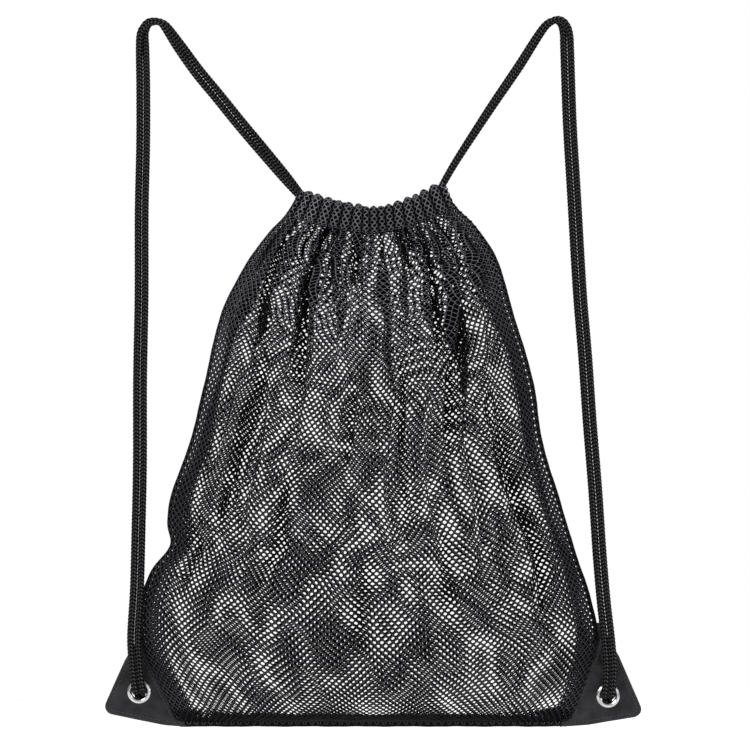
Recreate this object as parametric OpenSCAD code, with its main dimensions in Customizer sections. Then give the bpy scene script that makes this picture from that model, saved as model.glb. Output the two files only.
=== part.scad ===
// Mesh drawstring backpack. Two net panels are sewn together at the sides and the bottom and gathered on
// a drawstring casing at the mouth. Each side has one cord: both of its strands leave the end of the
// casing, hang over a peg as a shoulder strap, run down to the bottom corner, pass through an eyelet in a
// two-ply corner patch and end in a knot behind it. The net keeps the bulge of a filled bag.
// Millimetres, +Z up, the front faces -Y. Every shape is drawn above the bottom seam and lowered by
// peg_height, so the origin lies between the two pegs, above the middle of the mouth.

/* [Bag] */
// Height of the pegs that hold the strap loops up, above the bottom seam
peg_height = 506; // [490:1:520]
// Thickness of the net fabric
panel_t = 1.2; // [0.8:0.1:1.4]
// How full the bag is, as a share of the depth it has here
fullness = 1; // [0.7:0.05:1.05]
// Height at which the mouth's two lips begin to lean out
hinge_h = 250; // [240:5:260]

/* [Casing] */
// Height of the drawstring casing
casing_h = 18; // [17:1:20]
// Share of the mouth's width that the casing covers
casing_span = 0.92; // [0.88:0.01:0.94]
// Thickness of each ply of the casing
ply_t = 0.8; // [0.6:0.1:1]

/* [Cords] */
// Diameter of the braided cord
cord_d = 4.6; // [4:0.1:4.6]
// Distance between the two strands of a strap
strand_pitch = 5; // [4.8:0.1:5.2]
// Diameter of the knot behind each eyelet
knot_d = 13; // [12:0.5:15]
// Length of the cord tips that hang out of each knot
tip_l = 12; // [6:1:14]

/* [Corner patches and eyelets] */
// Thickness of each patch ply
patch_t = 1.1; // [0.8:0.1:1.1]
// Outer diameter of the eyelet's flange
flange_d = 17.5; // [16:0.5:19]
// Bore of the eyelet
bore_d = 11; // [10.4:0.2:12]
// Wall of the eyelet's barrel
barrel_wall = 0.6; // [0.4:0.1:0.8]

/* [Hidden] */

FRONT = -1;
BACK = 1;
net_colour = "#2b2a2e";
patch_colour = "#39373c";
cord_colour = "#1d1d20";
metal_colour = "#c9cacd";

// Stations up the bag: height, left edge, right edge, half depth of one panel at the middle
stations = [
    [4, -140, 141, 0.5],
    [8, -143, 144, 22],
    [20, -148, 149, 41],
    [40, -158, 156, 56],
    [64, -167, 162, 65],
    [95, -166, 156, 69],
    [125, -151, 147, 67],
    [165, -146, 135, 61],
    [205, -131, 122, 53],
    [250, -120, 116, 43],
    [300, -108, 100, 33],
    [335, -90, 92, 25],
    [358, -74, 77, 16],
    [372, -61, 62, 10],
    [390, -52, 51, 10]
];
seam_y = 1.9;         // outer face of a panel at its side seam
casing_y = 4.3;       // the same just under the casing, where the two cords need room
edge_rise = [330, 372]; // heights between which the panels part to make that room
section_power = 0.9;  // shape of the level section: 1 is a parabola, lower is fuller
rim_middle = 374;     // top of the casing at the middle of the mouth
rim_left = 387;       // top of the casing at the side seams
rim_right = 393;
rim_power = 1.6;
casing_foot = 372;    // nominal height at which the casing starts
seam_gap = 0.2;       // half the gap between the lower panels and the lips

function ease(t) = let (c = min(max(t, 0), 1)) c * c * (3 - 2 * c);
function segment(h, i = 0) =
    (i >= len(stations) - 2 || h < stations[i + 1][0]) ? i : segment(h, i + 1);
function slope(i, k) = let (a = max(i - 1, 0), b = min(i + 1, len(stations) - 1))
    (stations[b][k] - stations[a][k]) / (stations[b][0] - stations[a][0]);
function at_height(h, k) = let (
    i = segment(h), a = stations[i], b = stations[i + 1], w = b[0] - a[0], t = (h - a[0]) / w
) a[k] * (1 + 2 * t) * pow(1 - t, 2) + b[k] * t * t * (3 - 2 * t)
    + w * (slope(i, k) * t * pow(1 - t, 2) - slope(i + 1, k) * t * t * (1 - t));
function bulge(u) = pow(max(1 - u * u, 0), section_power);

// The rim hangs lower in the middle, and the panel under it follows from the hinge upwards
function rim_drop(u, h) = let (end = u < 0 ? rim_left : rim_right)
    (casing_foot + casing_h - rim_middle - (end - rim_middle) * pow(abs(u), rim_power))
    * ease((h - hinge_h) / (casing_foot - hinge_h));
function edge_y(h) = seam_y
    + (casing_y - seam_y) * ease((h - edge_rise[0]) / (edge_rise[1] - edge_rise[0]));
function bag_x(u, h) = let (l = at_height(h, 1), r = at_height(h, 2)) (l + r) / 2 + u * (r - l) / 2;
function bag_point(side, u, h) = [
    bag_x(u, h), side * (edge_y(h) + fullness * at_height(h, 3) * bulge(u)), h - rim_drop(u, h)
];

function unit(v) = v / norm(v);

module in_row_frame() {
    translate([0, 0, -peg_height]) children();
}

// A closed sheet between two grids of points with the same rows and columns
module sheet_solid(outer, inner) {
    rows = len(outer);
    cols = len(outer[0]);
    back = rows * cols;
    function at(r, c) = r * cols + c;
    faces = concat(
        [for (r = [0 : rows - 2], c = [0 : cols - 2]) each [
            [at(r, c), at(r + 1, c), at(r + 1, c + 1)], [at(r, c), at(r + 1, c + 1), at(r, c + 1)],
            [back + at(r, c), back + at(r + 1, c + 1), back + at(r + 1, c)],
            [back + at(r, c), back + at(r, c + 1), back + at(r + 1, c + 1)]
        ]],
        [for (r = [0 : rows - 2]) each [
            [at(r, 0), back + at(r, 0), back + at(r + 1, 0)], [at(r, 0), back + at(r + 1, 0), at(r + 1, 0)],
            [at(r, cols - 1), back + at(r + 1, cols - 1), back + at(r, cols - 1)],
            [at(r, cols - 1), at(r + 1, cols - 1), back + at(r + 1, cols - 1)]
        ]],
        [for (c = [0 : cols - 2]) each [
            [at(0, c), back + at(0, c + 1), back + at(0, c)], [at(0, c), at(0, c + 1), back + at(0, c + 1)],
            [at(rows - 1, c), back + at(rows - 1, c), back + at(rows - 1, c + 1)],
            [at(rows - 1, c), back + at(rows - 1, c + 1), at(rows - 1, c + 1)]
        ]]
    );
    polyhedron(points = concat([for (row = outer) each row], [for (row = inner) each row]), faces = faces);
}

// One panel of the bag between the given heights. Its columns crowd towards the side seams.
module panel(side, heights, columns = 24) {
    across = [for (c = [0 : columns]) -side * sin(90 * (2 * c / columns - 1))];
    outer = [for (h = heights) [for (u = across) bag_point(side, u, h)]];
    top = len(heights) - 1;
    inner = [for (r = [0 : top]) [for (c = [0 : columns]) let (
        along = outer[r][min(c + 1, columns)] - outer[r][max(c - 1, 0)],
        up = outer[min(r + 1, top)][c] - outer[max(r - 1, 0)][c]
    ) outer[r][c] - panel_t * unit(cross(along, up))]];
    in_row_frame() sheet_solid(outer, inner);
}

lower_heights = [4, 5.5, 8, 13, 20, 30, 44, 62, 82, 104, 128, 152, 176, 200, 225, hinge_h - seam_gap];
upper_heights = [
    hinge_h + seam_gap, 268, 284, 300, 316, 332, 346, 358, 366, casing_foot
];

module front_panel_lower() {
    color(net_colour) panel(FRONT, lower_heights);
}

module back_panel_lower() {
    color(net_colour) panel(BACK, lower_heights);
}

module front_panel_upper() {
    color(net_colour) panel(FRONT, upper_heights);
}

module back_panel_upper() {
    color(net_colour) panel(BACK, upper_heights);
}

// The casing is a hem folded over the cords. Its section is given as [out from the inner face, up].
casing_w = cord_d + 2 * ply_t + 0.6;
hem_mid = casing_w / 2;
hem_pinch = 0.6 * panel_t;
hem_outside = [
    [hem_mid + hem_pinch + ply_t, 0], [casing_w, 4], [casing_w, casing_h - 4], [hem_mid + 1.2, casing_h],
    [hem_mid - 1.2, casing_h], [0, casing_h - 4], [0, 4], [hem_mid - hem_pinch - ply_t, 0]
];
hem_inside = [
    [hem_mid + hem_pinch, 0], [casing_w - ply_t, 4.2], [casing_w - ply_t, casing_h - 4.2],
    [hem_mid + 0.9, casing_h - ply_t], [hem_mid - 0.9, casing_h - ply_t],
    [ply_t, casing_h - 4.2], [ply_t, 4.2], [hem_mid - hem_pinch, 0]
];
casing_gap = 0.3;

function casing_point(side, u, out_up) = let (h = casing_foot - 0.5 + out_up[1]) [
    bag_x(u, h),
    side * (casing_gap + at_height(h, 3) * fullness * bulge(u) + out_up[0]),
    h - rim_drop(u, h)
];

module casing(side, columns = 28) {
    across = [for (c = [0 : columns]) -side * casing_span * (2 * c / columns - 1)];
    // sheet_solid's rows run round the hem, so the row order makes its outside face out
    outer = [for (p = hem_outside) [for (u = across) casing_point(side, -u, p)]];
    inner = [for (p = hem_inside) [for (u = across) casing_point(side, -u, p)]];
    in_row_frame() sheet_solid(outer, inner);
}

module casing_front() {
    color(net_colour) casing(FRONT);
}

module casing_back() {
    color(net_colour) casing(BACK);
}

// A tube of the cord's diameter through a list of points. reference is never along the tube.
module cord_tube(points, reference, sides = 8) {
    last = len(points) - 1;
    rings = [for (i = [0 : last]) let (
        t = unit(points[min(i + 1, last)] - points[max(i - 1, 0)]),
        a = unit(cross(reference, t)),
        b = cross(t, a)
    ) [for (k = [0 : sides - 1]) points[i] + cord_d / 2 * (cos(360 * k / sides) * a + sin(360 * k / sides) * b)]];
    skin = [for (i = [0 : last - 1], k = [0 : sides - 1]) let (
        n = (k + 1) % sides, p = i * sides, q = p + sides
    ) each [[p + k, q + k, q + n], [p + k, q + n, p + n]]];
    ends = [for (k = [1 : sides - 2]) each [
        [0, k, k + 1], [last * sides, last * sides + k + 1, last * sides + k]
    ]];
    in_row_frame() polyhedron(points = [for (r = rings) each r], faces = concat(skin, ends));
}

// The cords' straight run through the casing. The upper one is the left strap's, the lower the right's.
channel_up = [casing_h - 5.6, 6.2];

module channel_cord(side, up, columns = 14) {
    points = [for (c = [0 : columns]) casing_point(side, 0.9 * (2 * c / columns - 1), [hem_mid, up])];
    color(cord_colour) cord_tube(points, [0, 1, 0]);
}

module channel_cord_left_front() {
    channel_cord(FRONT, channel_up[0]);
}

module channel_cord_left_back() {
    channel_cord(BACK, channel_up[0]);
}

module channel_cord_right_front() {
    channel_cord(FRONT, channel_up[1]);
}

module channel_cord_right_back() {
    channel_cord(BACK, channel_up[1]);
}

// Middle line of each strap's pair of strands, from the casing to the knot: x, y, height, and the turn of
// the pair about that line in degrees. At 0 the front strand is the outer one, at -90 it is in front.
left_route = [
    [-53, 0, 384, -90], [-63, 0, 396, -100], [-79, 0, 415, -130], [-95, 0, 434, -160],
    [-112, 0, 455, -175], [-126, 0, 472, -170], [-139, 0, 490, -150], [-148, 0, 503, -120],
    [-152, 0, 507, -100], [-156, 0, 508, -90], [-161, 0, 507, -80], [-164, 0, 503, -65],
    [-165.5, 0, 498, -45], [-165.5, 0, 486, -20], [-165, -1, 460, 0], [-165, -2, 420, 0],
    [-166, -3, 370, 0], [-166, -5, 310, 0], [-167, -6, 250, 0], [-167, -8, 190, 0],
    [-168, -9, 140, 0], [-169, -10, 100, 0], [-171, -10, 66, 0], [-170, -10, 46, 0],
    [-169, -9.5, 35, 0], [-168, -6.5, 28, 0], [-168, 0, 25.5, 0], [-168, 6, 25.5, 0]
];
right_route = [
    [51, 0, 392, -90], [59, 0, 406, -95], [67, 0, 419, -105], [86, 0, 447, -115],
    [105, 0, 475, -115], [115, 0, 493, -110], [121, 0, 505, -105], [125, 0, 509, -100],
    [130, 0, 510.5, -90], [135, 0, 509, -80], [138, 0, 505.5, -65], [139.5, 0, 500, -45],
    [140, 0, 486, -20], [142, -1, 434, 0], [145, -2, 383, 0], [149, -4, 314, 0],
    [153, -6, 264, 0], [156, -7, 220, 0], [160, -8, 170, 0], [163, -9, 125, 0],
    [166, -10, 90, 0], [169, -10, 64, 0], [170.5, -10, 44, 0], [170, -9.5, 32, 0],
    [169.5, -6.5, 25, 0], [169.5, 0, 22.5, 0], [169.5, 6, 22.5, 0]
];
left_eyelet = [-168, 0, 25.5];
right_eyelet = [169.5, 0, 22.5];
LEFT = -1;
RIGHT = 1;

// One strand's own route. strand is 1 for the front strand and -1 for the back one.
function strand_route(route, hand, strand) = let (last = len(route) - 1) [for (i = [0 : last]) let (
    p = route[i], t = route[min(i + 1, last)] - route[max(i - 1, 0)],
    outward = unit([-hand * (t[2] - 0.01), 0, hand * t[0]])
) [p[0], p[1], p[2]] + strand * strand_pitch / 2 * (cos(p[3]) * outward + [0, sin(p[3]), 0])];

function spline(points, s) = let (
    last = len(points) - 1, i = min(floor(s), last - 1), t = s - i,
    a = points[max(i - 1, 0)], b = points[i], c = points[i + 1], d = points[min(i + 2, last)]
) b + 0.5 * t * (c - a + t * (2 * a - 5 * b + 4 * c - d + t * (3 * (b - c) + d - a)));

ring_step = 12;
// Points along a route between two places on it, which are counted in route points
function stretch(points, from, to) = concat(
    [for (i = [floor(from) : ceil(to) - 1]) let (
        lo = max(from, i), hi = min(to, i + 1),
        count = max(1, round(norm(spline(points, hi) - spline(points, lo)) / ring_step))
    ) for (k = [0 : count - 1]) spline(points, lo + (hi - lo) * k / count)],
    [spline(points, to)]
);

// The strap swings between two pivots on its middle line. Past them the cord stays with the bag.
left_pivots = [1, 23];
right_pivots = [1, 22];
pivot_gap = 0.2; // gap on each side of a pivot, in route points

module strap_strand(route, hand, strand, pivots) {
    own = strand_route(route, hand, strand);
    color(cord_colour) cord_tube(stretch(own, pivots[0] + pivot_gap, pivots[1] - pivot_gap), [0, 1, 0]);
}

module cord_ends(route, hand, strand, pivots) {
    own = strand_route(route, hand, strand);
    color(cord_colour) {
        cord_tube(stretch(own, 0, pivots[0] - pivot_gap), [0, 1, 0]);
        cord_tube(stretch(own, pivots[1] + pivot_gap, len(own) - 1), [1, 0, 0]);
    }
}

module strap_left_front() {
    strap_strand(left_route, LEFT, 1, left_pivots);
}

module strap_left_back() {
    strap_strand(left_route, LEFT, -1, left_pivots);
}

module strap_right_front() {
    strap_strand(right_route, RIGHT, 1, right_pivots);
}

module strap_right_back() {
    strap_strand(right_route, RIGHT, -1, right_pivots);
}

module cord_ends_left_front() {
    cord_ends(left_route, LEFT, 1, left_pivots);
}

module cord_ends_left_back() {
    cord_ends(left_route, LEFT, -1, left_pivots);
}

module cord_ends_right_front() {
    cord_ends(right_route, RIGHT, 1, right_pivots);
}

module cord_ends_right_back() {
    cord_ends(right_route, RIGHT, -1, right_pivots);
}

// The knot's ball sits against the eyelet's washer, with the two cut tips of the cord hanging out of it
washer_back = seam_y + 1.1;

module knot(eyelet) {
    color(cord_colour) in_row_frame() translate(eyelet + [0, washer_back + knot_d / 2, 0])
        sphere(d = knot_d, $fn = 48);
}

module cord_tips(eyelet) {
    tip_lean = 14;
    color(cord_colour) in_row_frame() translate(eyelet + [0, washer_back + knot_d / 2, 0])
        for (lean = [-tip_lean, tip_lean]) rotate([0, 180 + lean, 0])
            translate([0, 0, knot_d / 2 - 1]) cylinder(h = tip_l + 1, d = cord_d, $fn = 24);
}

module knot_left() {
    knot(left_eyelet);
}

module knot_right() {
    knot(right_eyelet);
}

module cord_tips_left() {
    cord_tips(left_eyelet);
}

module cord_tips_right() {
    cord_tips(right_eyelet);
}

// Patch outlines, as [x, height]: the inner edge runs along the bulge and the outer tip is an arc
tip_r = 6;
function arc(centre, from, to) = [for (i = [0 : 4]) let (a = from + (to - from) * i / 4)
    centre + tip_r * [cos(a), sin(a)]];
left_patch = concat([[-139, 0.3]], arc([-186.5, 15], 255, 150), [[-168, 64.5], [-164, 52], [-152, 26]]);
right_patch = concat([[140, 0.3]], arc([187.5, 13], -80, 28), [[163, 74.5], [160, 54], [150, 26]]);

module patch(side, outline, eyelet) {
    color(patch_colour) in_row_frame() difference() {
        translate([0, side < 0 ? patch_t - seam_y : seam_y, 0]) rotate([90, 0, 0])
            linear_extrude(patch_t) polygon(outline);
        translate(eyelet) rotate([90, 0, 0])
            cylinder(h = 3 * seam_y, d = bore_d + 2 * barrel_wall + 0.2, center = true, $fn = 48);
    }
}

module corner_patch_left_front() {
    patch(FRONT, left_patch, left_eyelet);
}

module corner_patch_left_back() {
    patch(BACK, left_patch, left_eyelet);
}

module corner_patch_right_front() {
    patch(FRONT, right_patch, right_eyelet);
}

module corner_patch_right_back() {
    patch(BACK, right_patch, right_eyelet);
}

// Front half of the eyelet: a rolled flange on the patch's front and a barrel through both plies
roll_h = 1.5;

module eyelet(centre) {
    r = bore_d / 2;
    color(metal_colour) in_row_frame() translate(centre) rotate([90, 0, 0]) rotate_extrude($fn = 64)
        polygon([
            [r, -washer_back + 0.2], [r + barrel_wall, -washer_back + 0.2], [r + barrel_wall, seam_y],
            [flange_d / 2, seam_y], [flange_d / 2 - 0.5, seam_y + 0.8], [flange_d / 2 - 1.6, seam_y + roll_h],
            [r + 1, seam_y + roll_h], [r + 0.3, seam_y + roll_h - 0.4], [r, seam_y + roll_h - 1]
        ]);
}

module eyelet_washer(centre) {
    r = bore_d / 2 + barrel_wall + 0.05;
    color(metal_colour) in_row_frame() translate(centre) rotate([90, 0, 0]) rotate_extrude($fn = 64)
        polygon([
            [r, -seam_y], [r, -washer_back], [r + 1.2, -washer_back],
            [flange_d / 2 - 0.6, -seam_y - 0.5], [flange_d / 2 - 0.6, -seam_y]
        ]);
}

module eyelet_left() {
    eyelet(left_eyelet);
}

module eyelet_right() {
    eyelet(right_eyelet);
}

module eyelet_washer_left() {
    eyelet_washer(left_eyelet);
}

module eyelet_washer_right() {
    eyelet_washer(right_eyelet);
}

// Seam tapes between the panels: flat strips that stand out of the edges
tape_y = 0.6;
tape_out = 2.4;
tape_in = 1.2;
tape_heights = [66, 80, 95, 110, 125, 145, 165, 185, 205, 228, 250, 275, 300, 318, 335, 348, 358, 366];

module side_seam(hand) {
    edge = [for (h = tape_heights) [at_height(h, hand < 0 ? 1 : 2), h]];
    reach = [for (p = edge) p + [hand * tape_out, 0]];
    root = [for (i = [len(edge) - 1 : -1 : 0]) edge[i] - [hand * tape_in, 0]];
    color(patch_colour) in_row_frame() translate([0, tape_y, 0]) rotate([90, 0, 0])
        linear_extrude(2 * tape_y) polygon(concat(reach, root));
}

module side_seam_left() {
    side_seam(LEFT);
}

module side_seam_right() {
    side_seam(RIGHT);
}

bottom_seam_h = 7;

module bottom_seam() {
    color(patch_colour) in_row_frame() translate([-138.5, -tape_y, 0]) cube([278, 2 * tape_y, bottom_seam_h]);
}

front_panel_lower();
back_panel_lower();
front_panel_upper();
back_panel_upper();
casing_front();
casing_back();
side_seam_left();
side_seam_right();
bottom_seam();
corner_patch_left_front();
corner_patch_left_back();
corner_patch_right_front();
corner_patch_right_back();
eyelet_left();
eyelet_right();
eyelet_washer_left();
eyelet_washer_right();
knot_left();
knot_right();
cord_tips_left();
cord_tips_right();
channel_cord_left_front();
channel_cord_left_back();
channel_cord_right_front();
channel_cord_right_back();
strap_left_front();
strap_left_back();
strap_right_front();
strap_right_back();
cord_ends_left_front();
cord_ends_left_back();
cord_ends_right_front();
cord_ends_right_back();
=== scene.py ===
"""Looks of the mesh drawstring backpack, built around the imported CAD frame. The bag's own shape is worked out in
millimetres above its bottom seam, as in the CAD source, and each mesh is made in metres in the row frame."""
import math

import bpy
import numpy as np
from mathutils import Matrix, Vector


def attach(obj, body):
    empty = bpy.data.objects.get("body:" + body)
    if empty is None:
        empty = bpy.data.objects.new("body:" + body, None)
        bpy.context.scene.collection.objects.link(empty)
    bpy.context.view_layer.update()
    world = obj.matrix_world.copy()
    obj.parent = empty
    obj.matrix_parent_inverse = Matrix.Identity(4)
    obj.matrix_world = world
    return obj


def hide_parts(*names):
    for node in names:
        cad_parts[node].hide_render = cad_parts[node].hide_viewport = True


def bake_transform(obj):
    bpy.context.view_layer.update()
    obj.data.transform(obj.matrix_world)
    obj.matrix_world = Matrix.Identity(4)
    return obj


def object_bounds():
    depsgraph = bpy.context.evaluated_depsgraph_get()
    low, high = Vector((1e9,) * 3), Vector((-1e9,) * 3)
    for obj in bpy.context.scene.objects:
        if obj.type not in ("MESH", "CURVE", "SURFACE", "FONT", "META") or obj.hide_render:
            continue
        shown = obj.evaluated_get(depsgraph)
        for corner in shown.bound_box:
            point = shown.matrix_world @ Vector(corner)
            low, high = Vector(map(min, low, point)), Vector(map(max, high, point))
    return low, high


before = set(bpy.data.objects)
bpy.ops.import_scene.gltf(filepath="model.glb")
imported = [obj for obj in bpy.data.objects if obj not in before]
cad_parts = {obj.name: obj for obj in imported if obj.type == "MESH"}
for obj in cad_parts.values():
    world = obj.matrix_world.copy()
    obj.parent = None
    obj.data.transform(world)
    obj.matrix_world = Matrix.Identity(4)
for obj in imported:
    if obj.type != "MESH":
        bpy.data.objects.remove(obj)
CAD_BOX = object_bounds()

MM = 0.001
PEG_HEIGHT = 506.0
FRONT, BACK = -1, 1
LEFT, RIGHT = -1, 1
SIDE_NAMES = {FRONT: "front", BACK: "back"}
HAND_NAMES = {LEFT: "left", RIGHT: "right"}


def to_row(points):
    """Millimetres above the bottom seam to metres in the row frame."""
    moved = np.array(points, float)
    moved[..., 2] -= PEG_HEIGHT
    return moved * MM


# ---- camera

def make_camera():
    """Square on to the front, with a long lens; view_width is the width it takes in at the bag."""
    distance, view_width, sensor = 3.0, 0.540, 36.0
    data = bpy.data.cameras.new("camera")
    data.sensor_width = sensor
    data.lens = sensor * distance / view_width
    camera = bpy.data.objects.new("camera", data)
    camera.location = (0.0018, -distance, -0.2526)
    camera.rotation_euler = (math.radians(90), 0, 0)
    bpy.context.collection.objects.link(camera)
    bpy.context.scene.camera = camera


make_camera()


# ---- materials

def add_node(tree, kind, **values):
    node = tree.nodes.new(kind)
    for key, value in values.items():
        if key in node.inputs:
            node.inputs[key].default_value = value
        else:
            setattr(node, key, value)
    return node


class Look:
    """A Principled material being built. Values that are the same all over are set on the shader itself."""

    def __init__(self, name, **sockets):
        self.material = bpy.data.materials.new(name)
        self.material.use_nodes = True
        self.tree = self.material.node_tree
        self.shader = self.tree.nodes["Principled BSDF"]
        self.place = self.tree.nodes.new("ShaderNodeTexCoord").outputs["Object"]
        for key, value in sockets.items():
            self.shader.inputs[key.replace("_", " ")].default_value = value

    def link(self, output, socket):
        self.tree.links.new(output, self.shader.inputs[socket])

    def texture(self, kind, stretch=None, **values):
        """A texture over the row frame's coordinates, in features per metre."""
        node, place = add_node(self.tree, kind, **values), self.place
        if stretch is not None:
            mapping = add_node(self.tree, "ShaderNodeMapping", Scale=stretch)
            self.tree.links.new(place, mapping.inputs["Vector"])
            place = mapping.outputs["Vector"]
        self.tree.links.new(place, node.inputs["Vector"])
        return node

    def noise(self, scale, detail, stretch=None):
        return self.texture("ShaderNodeTexNoise", stretch, Scale=scale, Detail=detail).outputs["Fac"]

    def waves(self, direction, scale, distortion=0.0):
        return self.texture("ShaderNodeTexWave", bands_direction=direction, Scale=scale,
                            Distortion=distortion).outputs["Color"]

    def layer(self, name):
        """A float attribute of the mesh, such as the depth of a braid's grooves."""
        return add_node(self.tree, "ShaderNodeAttribute", attribute_name=name).outputs["Fac"]

    def ramp(self, factor, *stops):
        """A colour ramp; each stop is (place, grey or colour)."""
        node = self.tree.nodes.new("ShaderNodeValToRGB")
        elements = node.color_ramp.elements
        while len(elements) < len(stops):
            elements.new(0.5)
        for element, (place, colour) in zip(elements, stops):
            element.position = place
            element.color = (*((colour,) * 3 if isinstance(colour, (int, float)) else colour), 1)
        self.tree.links.new(factor, node.inputs["Fac"])
        return node.outputs["Color"]

    def mix(self, blend_type, factor, a, b):
        node = add_node(self.tree, "ShaderNodeMix", data_type="RGBA", blend_type=blend_type)
        for socket, value in ((node.inputs[0], factor), (node.inputs[6], a), (node.inputs[7], b)):
            if isinstance(value, (int, float)):
                socket.default_value = value
            elif isinstance(value, tuple):
                socket.default_value = (*value, 1)
            else:
                self.tree.links.new(value, socket)
        return node.outputs[2]

    def bump(self, height, strength, distance):
        node = add_node(self.tree, "ShaderNodeBump", Strength=strength, Distance=distance)
        self.tree.links.new(height, node.inputs["Height"])
        self.link(node.outputs["Normal"], "Normal")


def net_material():
    """Charcoal warp-knit yarn: dark flanks with a painted highlight along the crests, and a fine fibre grain."""
    look = Look("net_yarn", Specular_IOR_Level=0.08)
    # painted highlight: the ramp turns the attribute into pale crests over dark flanks; the attribute also carries
    # painted shade in folds and inside the bag
    painted_crest_light = look.ramp(look.layer("painted_crest_light"), (0.0, (0.002, 0.002, 0.0025)), (0.42, (0.005, 0.005, 0.006)),
                      (0.74, (0.024, 0.023, 0.028)), (1.0, (0.185, 0.18, 0.20)))
    fibre = look.noise(2600, 2)
    yarn = look.mix("MULTIPLY", 1.0, painted_crest_light, look.ramp(look.noise(28, 4), (0.3, 0.72), (0.7, 1.1)))
    yarn = look.mix("MULTIPLY", 0.5, yarn, look.ramp(fibre, (0.35, 0.55), (0.65, 1.15)))
    look.link(yarn, "Base Color")
    look.link(look.ramp(look.noise(90, 3), (0.3, 0.6), (0.7, 0.85)), "Roughness")
    look.bump(fibre, 0.5, 0.0002)
    return look.material


def cord_material():
    """Braided polyester cord: a painted highlight on the ridges and painted shade in the grooves."""
    look = Look("cord_braid", Specular_IOR_Level=0.06)
    ridge = look.ramp(look.layer("ridge"), (0.0, (0.001, 0.001, 0.001)), (0.4, (0.003, 0.003, 0.0035)),
                      (0.64, (0.020, 0.020, 0.022)), (0.94, (0.14, 0.14, 0.15)))
    fibre = look.noise(3200, 2)
    look.link(look.mix("MULTIPLY", 0.6, ridge, look.ramp(fibre, (0.3, 0.5), (0.7, 1.2))), "Base Color")
    look.link(look.ramp(look.noise(120, 3), (0.3, 0.40), (0.7, 0.58)), "Roughness")
    look.bump(fibre, 0.35, 0.00015)
    return look.material


def woven_material(name, colour, threads, roughness, sheen, specular):
    """Tightly woven cloth: crossed fine threads, soft mottling and paler rubbed edges."""
    look = Look(name, Sheen_Weight=sheen, Sheen_Roughness=0.35, Specular_IOR_Level=specular)
    weave = look.mix("MULTIPLY", 1.0, look.waves("DIAGONAL", threads, 0.6), look.waves("Z", threads, 0.6))
    tone = look.mix("MULTIPLY", 1.0, colour, look.ramp(look.noise(95, 5), (0.35, 0.5), (0.65, 1.6)))
    tone = look.mix("MULTIPLY", 0.45, tone, look.ramp(weave, (0.0, 0.55), (1.0, 1.25)))
    worn = look.ramp(look.layer("edge"), (0.0, 0.0), (1.0, 0.5))
    look.link(look.mix("MIX", worn, tone, tuple(2.6 * c for c in colour)), "Base Color")
    look.link(look.ramp(look.noise(200, 3), (0.3, roughness - 0.08), (0.7, roughness + 0.1)), "Roughness")
    look.bump(weave, 0.25, 0.0001)
    return look.material


def thread_material():
    """Twisted sewing thread, a little paler than the cloth."""
    look = Look("sewing_thread", Roughness=0.5, Sheen_Weight=0.2)
    twist = look.waves("DIAGONAL", 1400)
    look.link(look.ramp(twist, (0.0, (0.020, 0.019, 0.023)), (1.0, (0.075, 0.072, 0.083))), "Base Color")
    look.bump(twist, 0.4, 0.0001)
    return look.material


def metal_material():
    """Bright nickel plate with fine handling scratches and a dull bloom in places."""
    look = Look("nickel", Metallic=1.0)
    bloom = look.noise(260, 4)
    look.link(look.ramp(bloom, (0.3, (0.60, 0.60, 0.61)), (0.7, (0.84, 0.84, 0.86))), "Base Color")
    look.link(look.ramp(bloom, (0.3, 0.30), (0.7, 0.16)), "Roughness")
    look.bump(look.noise(900, 2, stretch=(1, 1, 9)), 0.08, 0.0001)
    return look.material


NET = net_material()
CORD = cord_material()
PATCH = woven_material("patch_weave", (0.017, 0.0155, 0.018), 700, 0.45, 0.02, 0.25)
TAPE = woven_material("binding_weave", (0.003, 0.003, 0.0035), 900, 0.62, 0.0, 0.1)
THREAD = thread_material()
METAL = metal_material()


# ---- meshes

def make_mesh(name, vertices, faces, material, attributes=None, bake_uv=None, smooth=True):
    """An object from arrays, without the vertices that no face uses. faces is one array of quads or triangles, or a
    list of them; attributes are floats per vertex; bake_uv is one (u, v) per face corner."""
    groups = [np.asarray(g) for g in (faces if isinstance(faces, list) else [faces]) if len(g)]
    sizes = np.concatenate([np.full(len(g), g.shape[1], np.int32) for g in groups])
    used, corners = np.unique(np.concatenate([g.ravel() for g in groups]), return_inverse=True)
    data = bpy.data.meshes.new(name)
    data.vertices.add(len(used))
    data.vertices.foreach_set("co", np.asarray(vertices, np.float32)[used].ravel())
    data.loops.add(len(corners))
    data.loops.foreach_set("vertex_index", corners.astype(np.int32))
    data.polygons.add(len(sizes))
    data.polygons.foreach_set("loop_start", (np.cumsum(sizes) - sizes).astype(np.int32))
    data.polygons.foreach_set("loop_total", sizes)
    data.polygons.foreach_set("use_smooth", np.full(len(sizes), smooth))
    data.update(calc_edges=True)
    for key, values in (attributes or {}).items():
        layer = data.attributes.new(key, "FLOAT", "POINT")
        layer.data.foreach_set("value", np.asarray(values, np.float32)[used])
    if bake_uv is not None:
        data.uv_layers.new(name="OFBake").data.foreach_set("uv", np.asarray(bake_uv, np.float32).ravel())
    data.validate()
    data.materials.append(material)
    obj = bpy.data.objects.new(name, data)
    bpy.context.collection.objects.link(obj)
    return obj


def rim_walls(faces, offset):
    """Quads from the edges that only one face has to the same edges of a second layer, offset points further on."""
    starts, ends = faces.ravel(), np.roll(faces, -1, axis=1).ravel()
    key = np.minimum(starts, ends).astype(np.int64) * offset + np.maximum(starts, ends)
    _, where, counts = np.unique(key, return_index=True, return_counts=True)
    a, b = starts[where[counts == 1]], ends[where[counts == 1]]
    return np.stack([b, a, a + offset, b + offset], axis=-1)


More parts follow.
